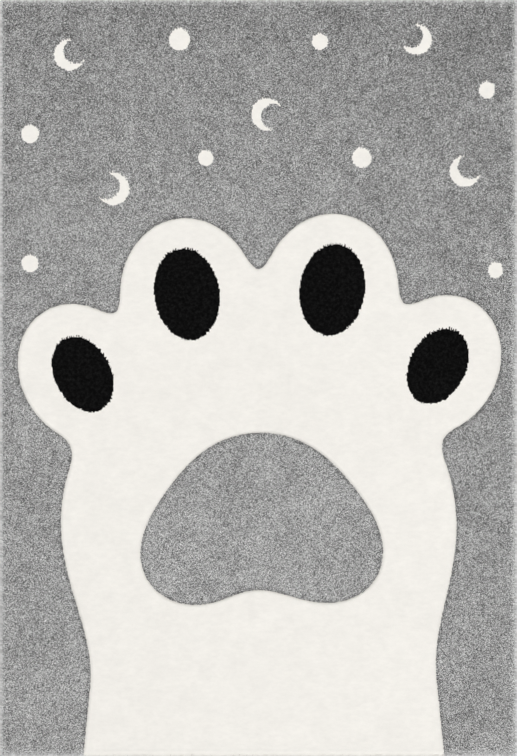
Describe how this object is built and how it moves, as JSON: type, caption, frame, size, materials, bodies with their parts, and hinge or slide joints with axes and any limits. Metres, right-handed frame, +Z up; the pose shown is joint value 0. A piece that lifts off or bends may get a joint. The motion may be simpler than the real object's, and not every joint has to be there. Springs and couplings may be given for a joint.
{
  "type": "rectangular kids rug with a carved bear paw",
  "caption": "Flat rectangular rug for a child's room: short cut pile in heather grey, cream and black, with a carved paw and overcast yarn edges.",
  "frame": {"origin": "under the middle of the rug, at floor level", "axes": "+Z up out of the pile, +Y along the length towards the head end, which the toes point at, +X across the width"},
  "size_m": [1.18, 1.725, 0.0125],
  "materials": {
    "heather_pile": "matt cut pile of mixed light and dark grey fibres",
    "cream_pile": "matt dense cut pile",
    "black_pile": "matt dense cut pile",
    "edge_yarn": "smooth light grey overcast yarn",
    "woven_back": "coarse plain weave of jute-coloured yarn"
  },
  "bodies": {
    "root": {"woven_rug": "heather_pile", "overcast_left": "edge_yarn", "overcast_right": "edge_yarn", "overcast_head": "edge_yarn", "overcast_foot": "edge_yarn"}
  },
  "joints": []
}
